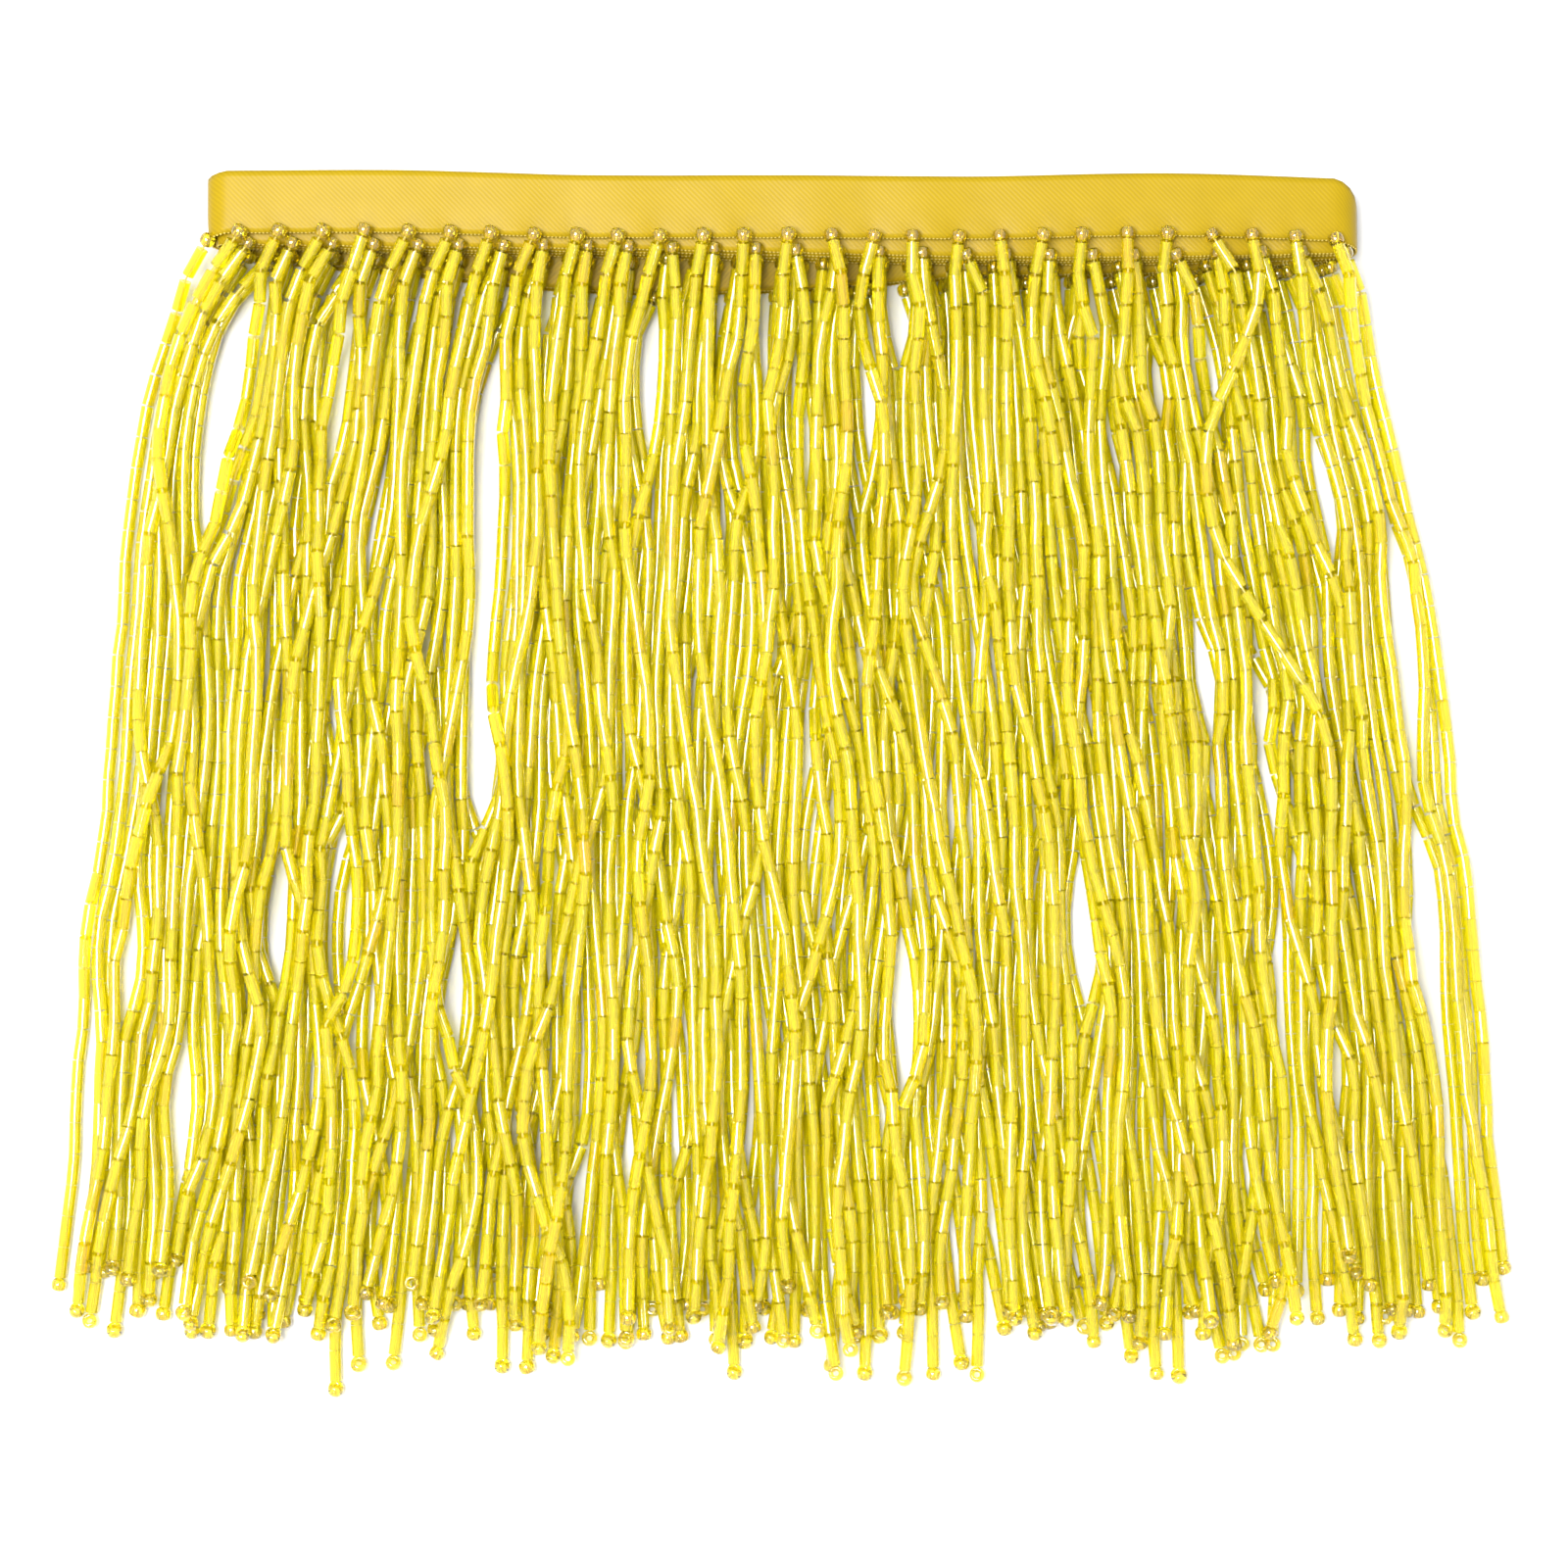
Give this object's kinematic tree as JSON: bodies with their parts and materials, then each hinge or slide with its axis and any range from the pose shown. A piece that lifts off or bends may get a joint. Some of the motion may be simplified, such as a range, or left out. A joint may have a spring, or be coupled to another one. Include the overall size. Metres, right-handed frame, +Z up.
{
  "type": "beaded fringe trim",
  "caption": "Satin ribbon wound flat, with a fringe of glass bugle bead strands sewn along its lower edge, lying spread on a surface.",
  "frame": {"origin": "middle of the underside, on the surface that the trim lies on", "axes": "+X along the ribbon, +Y from the ends of the strands towards the ribbon, +Z up, away from the surface"},
  "size_m": [0.2366, 0.1944, 0.0108],
  "materials": {
    "satin": "satin",
    "bead_glass": "gloss"
  },
  "bodies": {
    "root": {"ribbon": "satin", "fringe_1": "bead_glass", "fringe_2": "bead_glass", "fringe_3": "bead_glass", "fringe_4": "bead_glass", "fringe_5": "bead_glass", "fringe_6": "bead_glass", "fringe_7": "bead_glass"}
  },
  "joints": []
}
